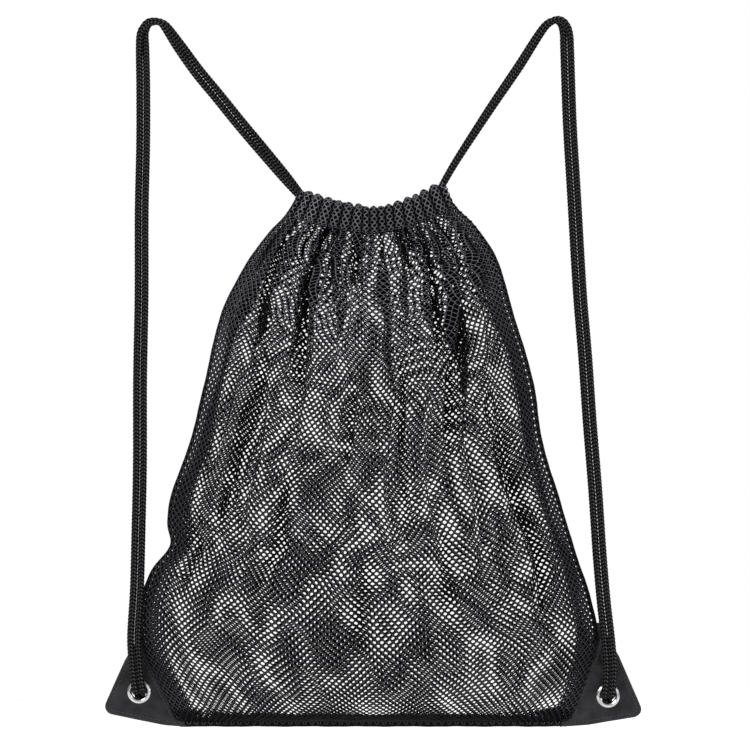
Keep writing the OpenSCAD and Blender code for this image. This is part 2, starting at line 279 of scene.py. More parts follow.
def grid_faces(rows, columns, closed=False):
    """Quads between the points of a grid; closed joins the last column to the first."""
    r = np.arange(rows - 1)[:, None]
    c = np.arange(columns if closed else columns - 1)[None, :]
    d = (c + 1) % columns
    a, b = r * columns + c, r * columns + d
    return np.stack([a, b, b + columns, a + columns], axis=-1).reshape(-1, 4)


def fan_caps(rings, sides):
    """Triangles that close both ends of a tube of rings."""
    fan = np.array([[0, k, k + 1] for k in range(1, sides - 1)])
    return np.concatenate([fan, (rings - 1) * sides + fan[:, ::-1]])


def unit(vectors):
    """Each vector at length one."""
    return vectors / np.maximum(np.linalg.norm(vectors, axis=-1, keepdims=True), 1e-12)


def full_turn(count):
    """Angles evenly round a circle."""
    return np.arange(count) / count * 2 * math.pi


def bowed(value, power):
    """A cosine or sine with its size raised to a power, which squares off or pinches an ellipse."""
    return np.sign(value) * np.abs(value) ** power


# ---- the bag's surface

# Height, left edge, right edge and half depth of one panel at the middle
STATIONS = np.array([
    [4, -140, 141, 0.5], [8, -143, 144, 22], [20, -148, 149, 41], [40, -158, 156, 56], [64, -167, 162, 65],
    [95, -166, 156, 69], [125, -151, 146, 67], [165, -145, 134, 61], [205, -131, 122, 53],
    [250, -120, 115, 43], [300, -108, 100, 33], [335, -91, 89, 25], [358, -75, 73.5, 16], [372, -62, 59.5, 10],
    [390, -52, 51, 10]], float)
SEAM_Y, CASING_Y = 1.9, 4.3
EDGE_RISE = (330, 372)
SECTION_POWER = 0.9
HINGE_H = 250.0
CASING_FOOT, CASING_H = 372.0, 18.0
RIM_MIDDLE, RIM_LEFT, RIM_RIGHT, RIM_POWER = 374.0, 387.0, 393.0, 1.6
NOTCH = ((4.5, 132, 9), (-2.0, 114, 8))    # the left edge drawn in above the corner, then out: by, height, spread
CENTRED_FROM, CENTRED_OVER = 215, 35       # from this height up, over this height, the middle comes to x = 0
SAG, SAG_TOP, SAG_POWER = 21, 120, 1.8     # of the rows at the panel's sides over its middle


def ease(t):
    """A smooth step from 0 at t = 0 to 1 at t = 1."""
    t = np.clip(t, 0, 1)
    return t * t * (3 - 2 * t)


def bell(x):
    """A smooth hump, 1 at x = 0."""
    return np.exp(-x ** 2)


def above_hinge(h):
    """From 0 at the hinge to 1 at the casing."""
    return ease((h - HINGE_H) / (CASING_FOOT - HINGE_H))


def at_height(h, k):
    """Column k of STATIONS at any height, on a smooth curve through the stations."""
    heights, values = STATIONS[:, 0], STATIONS[:, k]
    last = len(heights) - 1
    below, above = np.maximum(np.arange(last + 1) - 1, 0), np.minimum(np.arange(last + 1) + 1, last)
    slopes = (values[above] - values[below]) / (heights[above] - heights[below])
    i = np.clip(np.searchsorted(heights, h, side="right") - 1, 0, last - 1)
    w = heights[i + 1] - heights[i]
    t = (h - heights[i]) / w
    return (values[i] * (1 + 2 * t) * (1 - t) ** 2 + values[i + 1] * t * t * (3 - 2 * t)
            + w * (slopes[i] * t * (1 - t) ** 2 - slopes[i + 1] * t * t * (1 - t)))


def bulge(u):
    """The panel's depth across its width, as a share of the depth at its middle."""
    return np.maximum(1 - u * u, 0) ** SECTION_POWER


def rim_drop(u, h):
    """How far the rim's dip to its middle brings a point down."""
    end = np.where(u < 0, RIM_LEFT, RIM_RIGHT)
    return (CASING_FOOT + CASING_H - RIM_MIDDLE - (end - RIM_MIDDLE) * np.abs(u) ** RIM_POWER) * above_hinge(h)


def bag_x(u, h):
    """Near the hinge the middle of the cloth is brought to x = 0, where the lips' halves meet."""
    left = at_height(h, 1) + sum(by * bell((h - middle) / spread) for by, middle, spread in NOTCH)
    right = at_height(h, 2)
    centred = 1 - (1 - u * u) ** 2 * ease((h - CENTRED_FROM) / CENTRED_OVER)
    return (left + right) / 2 * centred + u * (right - left) / 2


def row_sag(u, h):
    """How much higher a row of holes runs at the sides of the panel than at its middle."""
    return SAG * ease(h / SAG_TOP) * (1 - above_hinge(h)) * np.abs(u) ** SAG_POWER


def bag_point(side, u, h):
    """The smooth surface of a panel, without folds. u runs from -1 at the left edge to 1 at the right one."""
    u, h = np.broadcast_arrays(u, h)
    edge_y = SEAM_Y + (CASING_Y - SEAM_Y) * ease((h - EDGE_RISE[0]) / (EDGE_RISE[1] - EDGE_RISE[0]))
    return np.stack([bag_x(u, h), side * (edge_y + at_height(h, 3) * bulge(u)), h - rim_drop(u, h)], axis=-1)


# ---- folds in the cloth

# Creases of the front panel: place at the rim and at the foot as a share of half the width, height of the
# foot, depth and half width in millimetres
FRONT_CREASES = [
    (-0.93, -0.84, 300, 7.0, 2.6), (-0.82, -0.70, 268, 10.0, 3.0), (-0.66, -0.56, 318, 8.5, 2.6),
    (-0.52, -0.42, 196, 12.5, 3.4), (-0.40, -0.31, 290, 10.0, 2.8), (-0.27, -0.09, 306, 10.0, 3.0),
    (-0.13, -0.14, 338, 7.0, 2.4), (-0.03, -0.03, 350, 5.0, 2.2), (0.08, 0.07, 346, 5.0, 2.2),
    (0.17, 0.18, 350, 4.5, 2.2), (0.27, 0.31, 328, 7.5, 2.6), (0.40, 0.38, 344, 6.5, 2.4),
    (0.54, 0.43, 236, 12.5, 3.2), (0.66, 0.57, 312, 9.5, 2.8), (0.79, 0.52, 190, 12.0, 3.4),
    (0.92, 0.80, 290, 8.0, 2.8)]
# Long soft folds lower down: place at the top and at the foot, heights of the top and the foot, depth, half width
FRONT_FOLDS = [
    (0.15, 0.20, 300, 96, 6.5, 4.6), (-0.12, -0.13, 282, 160, 5.0, 4.6), (0.60, 0.44, 318, 176, 7.0, 5.0),
    (-0.64, -0.76, 285, 104, 6.5, 5.5), (-0.34, -0.55, 222, 58, 5.0, 6.5), (0.74, 0.86, 250, 78, 6.0, 5.5),
    (-0.90, -0.80, 170, 88, 5.0, 5.0), (0.88, 0.74, 150, 66, 5.0, 5.0), (0.02, -0.04, 150, 34, 3.5, 8.0),
    (0.32, 0.40, 180, 50, 3.5, 7.0)]


def creases_and_folds(side):
    """The front panel's own, and others spread at random over the back one."""
    if side == FRONT:
        return FRONT_CREASES, FRONT_FOLDS
    rng = np.random.default_rng(11)
    tops = np.linspace(-0.93, 0.93, 16) + rng.uniform(-0.03, 0.03, 16)
    creases = [(u, u * rng.uniform(0.74, 0.97), rng.uniform(195, 345), rng.uniform(6, 12), rng.uniform(2.4, 3.4))
               for u in tops]
    folds = [(u, u + rng.uniform(-0.12, 0.12), rng.uniform(240, 310), rng.uniform(50, 170),
              rng.uniform(3.5, 6.5), rng.uniform(4.5, 7)) for u in np.linspace(-0.84, 0.84, 9)]
    return creases, folds


def crease_shape(distance, width):
    """A sharp valley between two low shoulders."""
    x = np.abs(distance) / width
    return -np.exp(-x ** 1.35) + 0.32 * bell((x - 2.1) / 1.1)


def wander(seed, h, size):
    """A slow sideways drift with height."""
    rng = np.random.default_rng(seed)
    return size * (np.sin(h / 31 + rng.uniform(0, 6.3)) + 0.5 * np.sin(h / 13 + rng.uniform(0, 6.3)))


def relief(side, u, h):
    """How far the cloth stands out of the smooth surface, and how far it leans sideways, in millimetres."""
    creases, folds = creases_and_folds(side)
    half = (at_height(h, 2) - at_height(h, 1)) / 2
    out = np.zeros(np.broadcast(u, h).shape)
    for i, (top, foot, foot_h, depth, width) in enumerate(creases):
        rise = (h - foot_h) / (CASING_FOOT - foot_h)
        middle = foot + (top - foot) * np.clip(rise, 0, 1) ** 1.2 + wander(20 + i, h, 0.006)
        strength = ease(rise / 0.6) * (0.86 + 0.14 * np.sin(h / 9 + i))
        out += depth * strength * crease_shape((u - middle) * half, width * (1.35 - 0.45 * ease(rise)))
    for i, (top, foot, top_h, foot_h, depth, width) in enumerate(folds):
        rise = (h - foot_h) / (top_h - foot_h)
        middle = foot + (top - foot) * np.clip(rise, 0, 1) + wander(60 + i, h, 0.012)
        strength = ease(2.4 * rise) * ease(2.4 * (1 - rise))
        out += depth * strength * crease_shape((u - middle) * half, width)
    lean = out * 1.25 * np.tanh(2 * np.sin(3.4 * u + 0.9 * side - 0.4)) * ease((h - 120) / 120)
    middle = lean[:, [lean.shape[1] // 2]]
    lean = lean - middle * bell(u / 0.14) * ease((h - CENTRED_FROM) / CENTRED_OVER)
    rng = np.random.default_rng(5 + side)
    ripples = sum(a * np.sin(u * k + 0.9 * np.sin(h / q + rng.uniform(0, 6.3)) + rng.uniform(0, 6.3))
                  * (0.55 + 0.45 * np.sin(2.1 * u + h / 60 + rng.uniform(0, 6.3)))
                  for a, k, q in ((1.2, 17.0, 50), (1.0, 27.0, 38), (0.7, 43.0, 30)))
    lumps = sum(a * np.sin(u * p + h / q + rng.uniform(0, 6.3))
                for a, p, q in ((0.8, 5.3, 57), (0.5, -8.1, 41)))
    return out + ripples * (0.25 + 0.75 * ease((h - 90) / 150)) + lumps * ease((h - 20) / 60), lean


def slack(side, u, h):
    """How far the knit is pulled sideways and up within the cloth, in millimetres."""
    rng = np.random.default_rng(31 + side)
    pull = [sum(a * np.sin(p * u + h / q + rng.uniform(0, 6.3)) for a, p, q in
                ((1.5, 6.1, 31), (1.0, -11.3, 23), (0.7, 17.7, -14), (0.45, 29.0, 9)))
            for _ in range(2)]
    calm = (1 - np.abs(u) ** 6) * ease((h - 8) / 30) * ease((CASING_FOOT - h) / 30)
    middle = 1 - bell(u / 0.12) * ease((h - 200) / 40)
    return pull[0] * calm * middle, 0.8 * pull[1] * calm


# ---- the cloth

COLUMNS = 68          # holes across one panel
ROWS = 158            # rows of holes up one panel
HINGE_ROW = 110       # the row at the hinge; the lips' pieces begin there
BOTTOM_H = 4.0        # height of the panel's lowest row
PITCH = 5.4 * MM      # flat distance between holes in a row
ROW_PITCH = 2.5 * MM  # flat distance between rows


class Cloth:
    """A grid of points over a piece of cloth. s runs across it and t up it, each from 0 to 1. light is painted light
    on the yarn: how strong the painted highlight on its crests is, about 1 where the cloth lies open and less deep in
    its folds, as painted shade."""

    def __init__(self, points, light):
        self.points = points
        self.light = light[..., None]
        across, up = np.gradient(points, axis=1), np.gradient(points, axis=0)
        self.normals = unit(np.cross(across, up))

    def at(self, s, t):
        rows, columns = self.points.shape[:2]
        s, t = np.broadcast_arrays(np.clip(s, 0, 1) * (columns - 1), np.clip(t, 0, 1) * (rows - 1))
        points, normals, light = (between_points(grid, t, s) for grid in (self.points, self.normals, self.light))
        return points, unit(normals), light[..., 0]


def spread_evenly(points, axis, count):
    """The same lines of points along axis, with count points spaced evenly along each line. Only the first three
    values of a point are its place."""
    lines = np.moveaxis(points, axis, 0)
    steps = np.linalg.norm(np.diff(lines[..., :3], axis=0), axis=-1)
    length = np.concatenate([np.zeros((1,) + steps.shape[1:]), np.cumsum(steps, axis=0)])
    out = np.empty((count,) + lines.shape[1:])
    share = np.linspace(0, 1, count)
    for j in range(lines.shape[1]):
        for k in range(lines.shape[2]):
            out[:, j, k] = np.interp(share * length[-1, j], length[:, j], lines[:, j, k])
    return np.moveaxis(out, 0, axis)


def between_points(grid, r, c):
    """A grid's values between its points, at fractional rows and columns."""
    r0, c0 = np.minimum(r.astype(int), grid.shape[0] - 2), np.minimum(c.astype(int), grid.shape[1] - 2)
    fr, fc = (r - r0)[..., None], (c - c0)[..., None]
    low = grid[r0, c0] * (1 - fc) + grid[r0, c0 + 1] * fc
    high = grid[r0 + 1, c0] * (1 - fc) + grid[r0 + 1, c0 + 1] * fc
    return low * (1 - fr) + high * fr


def pull_cloth(side, grid):
    """The knit slides within the surface of the cloth, so that front and back never line up for long."""
    rows, columns = grid.shape[:2]
    sideways, upward = slack(side, grid[..., 3], grid[..., 4])
    r, c = np.meshgrid(np.arange(rows), np.arange(columns), indexing="ij")
    r = np.clip(r + upward / (ROW_PITCH / MM / 2), 0, rows - 1)
    c = np.clip(c + sideways / (PITCH / MM / 2), 0, columns - 1)
    return between_points(grid, r, c)


def panel_cloth(side):
    """The net panel from the bottom seam to the casing, and the share u of its top row. The row HINGE_ROW lies at
    the hinge's height."""
    u = -side * np.linspace(-1, 1, 1001)[None, :]
    inmost, deepest = 1.2, 0.78    # a fold stays this far from the middle plane, and takes this share of the depth
    parts = []
    for low, high, rows in ((BOTTOM_H, HINGE_H, HINGE_ROW), (HINGE_H, CASING_FOOT, ROWS - HINGE_ROW)):
        # the samples crowd towards the bottom seam, where the panel turns under
        h = (low + (high - low) * np.linspace(0, 1, 260) ** 1.25)[:, None]
        h = h + row_sag(u, h)
        smooth = bag_point(side, u, h)
        normal = unit(np.cross(np.gradient(smooth, axis=1), np.gradient(smooth, axis=0)))
        depth = np.abs(smooth[..., 1])
        near_edge = np.clip((depth - SEAM_Y) / 9, 0, 1)
        out, lean = (near_edge * part for part in relief(side, u, h))
        out = np.maximum(out, -deepest * np.maximum(depth - inmost, 0))
        folded = smooth + normal * out[..., None]
        folded[..., 0] += lean
        # painted shade deep in the folds; the yarn's painted highlight is dimmer along the bottom and a little paler
        # towards the rim
        fold_painted_shade = 1 - 0.8 * ease(-(out + 0.8) / 6)
        light = fold_painted_shade * (0.62 + 0.31 * ease((h - 7) / 9) + 0.2 * ease((h - 230) / 110))
        extra = np.stack(np.broadcast_arrays(u, h, light), axis=-1)
        parts.append(spread_evenly(np.concatenate([folded, extra], axis=-1), 0, 2 * rows + 1))
    joined = np.concatenate([parts[0][:-1], parts[1]])
    middle = joined.shape[1] // 2
    halves = [spread_evenly(part, 1, 2 * COLUMNS + 1) for part in (joined[:, :middle + 1], joined[:, middle:])]
    whole = np.concatenate([halves[0][:, :-1], halves[1]], axis=1)
    pulled = pull_cloth(side, whole)
    return Cloth(to_row(pulled[..., :3]), pulled[..., 5]), whole[-1, :, 3]


# ---- net

YARN = 0.42 * MM      # half the yarn's thickness
HOLE = (1.58, 1.24)   # half width and half height of a hole, in millimetres
HOLE_ANGLES = np.radians([22, 90, 158, 202, 270, 338])
CORNER_RISE = 0.147   # how far a cell's corners lie above and below the middle of its row, in rows
INSIDE_PAINTED_SHADE = 0.15   # painted shade: the share of the yarn's painted highlight left on the inside of the bag
ALLOWANCE = 3         # columns of net turned in along each side seam
HEM_TURN = 5          # rows turned in along the bottom
ALLOWANCE_LIFT = -1.2 * MM
HEM_SHIFT, EDGE_SHIFT = 0.4, 0.45    # the turned-in net's holes lie beside the panel's own, in columns


def net(name, cloth, columns, rows, total, openness=1.0, lift=0.0, shift=0.0):
    """Knitted net over a cloth, between the given first and last columns and rows of its total (columns, rows).
    Each hole is a ring of six points in a six-sided cell, and the yarn between rings swells to its thickness."""
    first, last = columns
    row_from, row_to = rows
    n = last - first
    count = n + 2

    def place(a, b):
        return cloth.at((a + shift) / total[0], b / total[1])

    # the cells' corners: for each row, low and high ones between its holes
    all_rows = np.arange(row_from - 1, row_to + 1)[:, None, None]
    corner_a = first + np.arange(count)[None, :, None] - 0.5 + 0.5 * (all_rows % 2) + np.zeros((1, 1, 2))
    corner_b = all_rows + 0.5 + np.array([-CORNER_RISE, CORNER_RISE]) + np.zeros((1, count, 1))
    middle, normal, light = place(corner_a, corner_b)
    front = middle + normal * (YARN + lift)
    back = middle - normal * (YARN - lift)
    per_face = light.size

    def corner(row, index, high):
        return ((row - row_from + 1) * count + index) * 2 + high

    # the holes: a ring of points in each cell
    j, i = (grid.ravel() for grid in np.meshgrid(np.arange(row_from, row_to), np.arange(n), indexing="ij"))
    odd = j % 2
    above = i + odd
    cells = np.stack([corner(j, i + 1, 1), corner(j + 1, above, 0), corner(j, i, 1),
                      corner(j, i, 0), corner(j - 1, above, 1), corner(j, i + 1, 0)], axis=1)
    ring_a = (first + i + 0.5 * odd)[:, None] + openness * HOLE[0] * MM / PITCH * np.cos(HOLE_ANGLES)
    ring_b = (j + 0.5)[:, None] + openness * HOLE[1] * MM / ROW_PITCH * np.sin(HOLE_ANGLES)
    ring, ring_normal, _ = place(ring_a, ring_b)
    ring = ring + ring_normal * lift
    rings = 2 * per_face + np.arange(ring_a.size).reshape(-1, 6)
    next_cells, next_rings = np.roll(cells, -1, axis=1), np.roll(rings, -1, axis=1)
    front_faces = np.stack([cells, next_cells, next_rings, rings], axis=-1).reshape(-1, 4)
    back_faces = np.stack([rings, next_rings, next_cells + per_face, cells + per_face], axis=-1).reshape(-1, 4)
    walls = rim_walls(cells, per_face)

    vertices = np.concatenate([front.reshape(-1, 3), back.reshape(-1, 3), ring.reshape(-1, 3)])
    # painted highlight on the front's yarn crests from the cloth's painted light, painted shade on the inside face,
    # none at the holes' rims
    painted_crest_light = np.concatenate([light.ravel(), INSIDE_PAINTED_SHADE * light.ravel(), np.zeros(ring_a.size)])
    flat_u = (np.concatenate([corner_a.ravel(), corner_a.ravel(), ring_a.ravel()]) - first + 1) / count
    flat_v = (np.concatenate([corner_b.ravel(), corner_b.ravel(), ring_b.ravel()]) - row_from + 1) / (
        row_to - row_from + 2)
    faces = np.concatenate([front_faces, back_faces, walls])
    half = np.repeat([0, 1, 0], [len(front_faces), len(back_faces), len(walls)])
    uv = np.stack([(flat_u[faces] + half[:, None]) / 2, flat_v[faces]], axis=-1)
    return make_mesh(name, vertices, faces, NET, {"painted_crest_light": painted_crest_light}, uv)


# Each half of a lip would turn from the bag to the lip across a slanting band: from the line between the casing's end
# and the foot of the lip's middle, up towards the middle of the rim. Only the band's ends are worked out; the pieces
# are not turned across it.
LIP_CORNER = np.array([56.0, 385.0])
LIP_REACH = 36.0


def blend_lip(piece, hand):
    along = np.array([LIP_CORNER[0], HINGE_H - LIP_CORNER[1]])
    up = np.array([-along[1], along[0]]) / np.linalg.norm(along)
    start = np.array([hand * LIP_CORNER[0], 0.0, LIP_CORNER[1]])
    end = start + LIP_REACH * np.array([-hand * up[0], 0.0, up[1]])
    tuple(to_row(start))
    tuple(to_row(end))
    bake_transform(piece)


def declare_net(piece, columns, rows, *stands_for):
    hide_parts(*stands_for)


def half_columns(side, hand, total):
    """First and last column of one half of a cloth. The back panel's columns run the other way."""
    return (0, total // 2) if hand * side == RIGHT else (total // 2, total)


def make_net_panel(side, cloth):
    """Two bands that stay with the bag, two halves of the lip, and the turned-in edges along the seams."""
    where = SIDE_NAMES[side]
    total = (COLUMNS, ROWS)
    lower, upper = f"{where}_panel_lower", f"{where}_panel_upper"
    for label, rows in (("foot", (0, HINGE_ROW // 2)), ("belly", (HINGE_ROW // 2, HINGE_ROW))):
        piece = net(f"net_{where}_{label}", cloth, (0, COLUMNS), rows, total)
        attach(piece, "bag")
        declare_net(piece, COLUMNS, rows[1] - rows[0], lower)
    hem = net(f"net_{where}_bottom_hem", cloth, (0, COLUMNS), (0, HEM_TURN), total, lift=ALLOWANCE_LIFT,
              shift=HEM_SHIFT)
    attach(hem, "bag")
    declare_net(hem, COLUMNS, HEM_TURN, lower)
    for hand in (LEFT, RIGHT):
        label = HAND_NAMES[hand]
        columns = half_columns(side, hand, COLUMNS)
        lip = net(f"net_{where}_lip_{label}", cloth, columns, (HINGE_ROW, ROWS), total)
        blend_lip(lip, hand)
        declare_net(lip, COLUMNS // 2, ROWS - HINGE_ROW, upper)
        at_start = columns[0] == 0
        edge = (0, ALLOWANCE) if at_start else (COLUMNS - ALLOWANCE, COLUMNS)
        for label_start, rows in (("edge", (HEM_TURN, HINGE_ROW)), ("lip_edge", (HINGE_ROW, ROWS))):
            turned_in = net(f"net_{where}_{label_start}_{label}", cloth, edge, rows, total, lift=ALLOWANCE_LIFT,
                            shift=EDGE_SHIFT if at_start else -EDGE_SHIFT)
            if label_start == "edge":
                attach(turned_in, "bag")
            else:
                blend_lip(turned_in, hand)
            declare_net(turned_in, ALLOWANCE, rows[1] - rows[0], lower if label_start == "edge" else upper)


# ---- cords

# Middle line of each strap's pair of strands: x, y, height above the bottom seam, and the turn of the pair about that
# line in degrees. It follows the CAD's route, with the loop's top and the turns adjusted
LEFT_ROUTE = [
    (-53, 0, 384, -115), (-63, 0, 396, -140), (-79, 0, 415, -160), (-95, 0, 434, -172),
    (-112, 0, 455, -175), (-126, 0, 472, -170), (-139, 0, 490, -150), (-148, 0, 503, -120),
    (-152, 0, 507, -100), (-156, 0, 508, -90), (-161, 0, 507, -80), (-164, 0, 503, -65),
    (-165.5, 0, 498, -45), (-165.5, 0, 486, -20), (-165, -1, 460, 0), (-165, -2, 420, 0),
    (-166, -3, 370, 0), (-166, -5, 310, 0), (-167, -6, 250, 0), (-167, -8, 190, 0),
    (-168, -9, 140, 0), (-169, -10, 100, 0), (-171, -10, 66, 0), (-170, -10, 46, 0),
    (-169, -9.5, 35, 0), (-168, -6.5, 28, 0), (-168, 0, 25.5, 0), (-168, 6, 25.5, 0)]
RIGHT_ROUTE = [
    (48, 0, 386, -90), (57, 0, 402, -95), (67, 0, 418, -100), (86, 0, 447, -110),
    (105, 0, 475, -115), (117, 0, 494, -110), (123.5, 0, 503.5, -105), (128, 0, 507.5, -100),
    (132.5, 0, 509, -85), (136, 0, 507.5, -65), (138.3, 0, 504, -45), (139.7, 0, 498, -25),
    (140.2, 0, 486, -8), (142, -1, 434, 0), (145, -2, 383, 0), (149, -4, 314, 0),
    (153, -6, 264, 0), (156, -7, 220, 0), (160, -8, 170, 0), (163, -9, 125, 0),
    (166, -10, 90, 0), (169, -10, 64, 0), (170.5, -10, 44, 0), (170, -9.5, 32, 0),
    (169.5, -6.5, 25, 0), (169.5, 0, 22.5, 0), (169.5, 6, 22.5, 0)]
ROUTES = {LEFT: LEFT_ROUTE, RIGHT: RIGHT_ROUTE}
# Both ends of the line that each strap would swing about; they are only worked out, and the straps are not swung
PIVOTS = {LEFT: ((-63, 0, 396), (-170, -10, 46)), RIGHT: ((59, 0, 406), (170.5, -10, 44))}
STRAP_REACH = 15.0    # a strand would bend over this distance from the line between its pivots; the strands are not bent
STRAND_PITCH = 5.1    # the pair is pressed together


def strand_points(hand, strand):
    """One strand's line: strand is 1 for the front strand and -1 for the back one."""
    route = np.array(ROUTES[hand], float)
    middle = route[:, :3]
    along = np.vstack([middle[1:], middle[-1:]]) - np.vstack([middle[:1], middle[:-1]])
    outward = unit(np.stack([-hand * (along[:, 2] - 0.01), 0 * along[:, 0], hand * along[:, 0]], axis=1))
    turn = np.radians(route[:, 3])[:, None]
    return smooth_line(middle + strand * STRAND_PITCH / 2 * (np.cos(turn) * outward + np.sin(turn) * [0, 1, 0]))


def smooth_line(own, per_segment=24):
    """A Catmull-Rom curve through points."""
    a, b = np.vstack([own[:1], own[:-2]])[:, None], own[:-1, None]
    c, d = own[1:, None], np.vstack([own[2:], own[-1:]])[:, None]
    t = (np.arange(per_segment) / per_segment)[None, :, None]
    curve = b + 0.5 * t * (c - a + t * (2 * a - 5 * b + 4 * c - d + t * (3 * (b - c) + d - a)))
    return np.vstack([curve.reshape(-1, 3), own[-1:]])


def even_line(points, step):
    """The same line with points every step."""
    length = np.concatenate([[0], np.cumsum(np.linalg.norm(np.diff(points, axis=0), axis=1))])
    places = np.linspace(0, length[-1], max(2, int(round(length[-1] / step)) + 1))
    return np.stack([np.interp(places, length, points[:, k]) for k in range(3)], axis=1), places


def frames_along(points):
    """Two unit vectors across the line at each point, carried along it without twist."""
    along = unit(np.gradient(points, axis=0))
    side = np.cross(along[0], [0, 1, 0] if abs(along[0][1]) < 0.9 else [1, 0, 0])
    sides = []
    for direction in along:
        side = side - direction * np.dot(side, direction)
        side /= np.linalg.norm(side)
        sides.append(side)
    sides = np.array(sides)
    return sides, np.cross(along, sides)


UV_STRIPS = 12        # strips in a tube's flat map
RIDGE_LEAN = 0.65     # a ridge's slant across its column, in steps
BRAID_STEP = 2.65     # distance between a braid's ridges along the cord
BRAID_COLUMNS = 8     # columns of slanting ridges round the cord
BRAID_DEPTH = 0.42    # depth of the grooves
BRAID_R = 2.72        # radius over the ridges; the strands of a pair just press together


def braid_relief(angle, place):
    """Herringbone braid: slanting ridges that lean the other way in each next column. From 0 to 1."""
    column = angle / (2 * math.pi) * BRAID_COLUMNS
    inside = column - np.floor(column)
    lean = np.where(np.floor(column) % 2 == 0, inside, 1 - inside)
    ridge = 0.5 + 0.5 * np.cos(2 * math.pi * (place / BRAID_STEP - RIDGE_LEAN * lean))
    return ridge * (0.6 + 0.4 * np.sin(math.pi * inside) ** 0.5)


def braided_tube(name, line, radius=BRAID_R, around=24, step=0.62, shrink=None):
    """A braided cord along a line in millimetres above the bottom seam. Returns the object and its row-frame line."""
    points, places = even_line(line, step)
    rows = len(points)
    a, b = frames_along(points)
    angle = full_turn(around)
    ridge = braid_relief(angle[None, :], places[:, None])
    size = radius - BRAID_DEPTH * (1 - ridge)
    if shrink is not None:
        size = size * shrink(places, places[-1])[:, None]
    rings = points[:, None] + size[..., None] * (np.cos(angle)[None, :, None] * a[:, None]
                                                 + np.sin(angle)[None, :, None] * b[:, None])
    vertices = np.vstack([rings.reshape(-1, 3), points[:1], points[-1:]])
    walls = grid_faces(rows, around, closed=True)[:, ::-1]
    ring = np.arange(around)
    after = np.roll(ring, -1)
    last_ring, end_points = (rows - 1) * around, rows * around
    caps = [np.stack([after, ring, np.full(around, end_points)], axis=1),
            np.stack([last_ring + ring, last_ring + after, np.full(around, end_points + 1)], axis=1)]

    # flat map: the tube cut into strips that lie side by side, its ends in one corner
    u = np.tile(ring / around, rows - 1)
    v = np.repeat(np.arange(rows - 1) / (rows - 1) * UV_STRIPS, around)
    strip = np.floor(np.minimum(v, UV_STRIPS - 1e-6))[:, None]
    du, dv = 1 / around, UV_STRIPS / (rows - 1)
    corner_u = u[:, None] + np.array([0, du, du, 0])
    corner_v = v[:, None] - strip + np.array([0, 0, dv, dv])
    uv = np.stack([(strip + 0.96 * corner_u) / UV_STRIPS, corner_v * 0.96], axis=-1)[:, ::-1]
    uv = np.vstack([uv.reshape(-1, 2), np.full((around * 6, 2), 0.999)])
    # the ridge attribute also sets the cord's painted highlight on the ridges and painted shade in the grooves
    obj = make_mesh(name, to_row(vertices), [walls, *caps], CORD, {"ridge": np.append(ridge, [0.4, 0.4])}, uv)
    return obj, to_row(points)


def make_cords():
    for hand in (LEFT, RIGHT):
        where = HAND_NAMES[hand]
        pivots = np.array(PIVOTS[hand], float)
        axis = unit(pivots[0] - pivots[1])
        outward = unit(np.array([hand * axis[2], 0, -hand * axis[0]]))
        for strand, label in ((1, "front"), (-1, "back")):
            cord, path = braided_tube(f"cord_{where}_{label}", strand_points(hand, strand))
            tuple(to_row(pivots[0]))
            tuple(to_row(pivots[0] + STRAP_REACH * outward))
            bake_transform(cord)
            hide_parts(f"strap_{where}_{label}", f"cord_ends_{where}_{label}")


make_cords()


# ---- the casing

CASING_GAP = 0.3                         # between the bag's surface and the casing
HEM_MID = 3.4                            # from there to the casing's middle surface
PINCH_REACH, PUFF_OUT, PUFF_IN = 2.7, 5.2, 0.5    # half thickness in a pinch, and what a puff adds out and in
PUFF_RISE = 3.2                          # how much taller the casing is where it puffs
HEM_COLUMNS, HEM_ROWS = 52, 20
CHANNEL_UP = {LEFT: 12.4, RIGHT: 6.2}    # height of each drawcord's run above the casing's foot
STITCH_SHARE = 0.72                      # of a stitch's step that its thread covers


def casing_middle(side, u, up):
    """Middle surface of the casing, at a height above its foot."""
    h = CASING_FOOT - 0.5 + up
    y = side * (CASING_GAP + at_height(h, 3) * bulge(u) + HEM_MID)
    return np.stack(np.broadcast_arrays(bag_x(u, h), y, h - rim_drop(u, h)), axis=-1)


def puffs(side, u):
    """How far the gathered casing puffs out at u, from 0 in a pinch to about 1 between two."""
    creases = creases_and_folds(side)[0]
    pinches = np.sort([-1.0] + [c[0] for c in creases] + [1.0])
    i = np.clip(np.searchsorted(pinches, u, side="right") - 1, 0, len(pinches) - 2)
    gap = pinches[i + 1] - pinches[i]
    across = (u - pinches[i]) / gap
    return (1 - np.abs(2 * across - 1) ** 2.2) * np.clip(gap / 0.12, 0.5, 1.15)


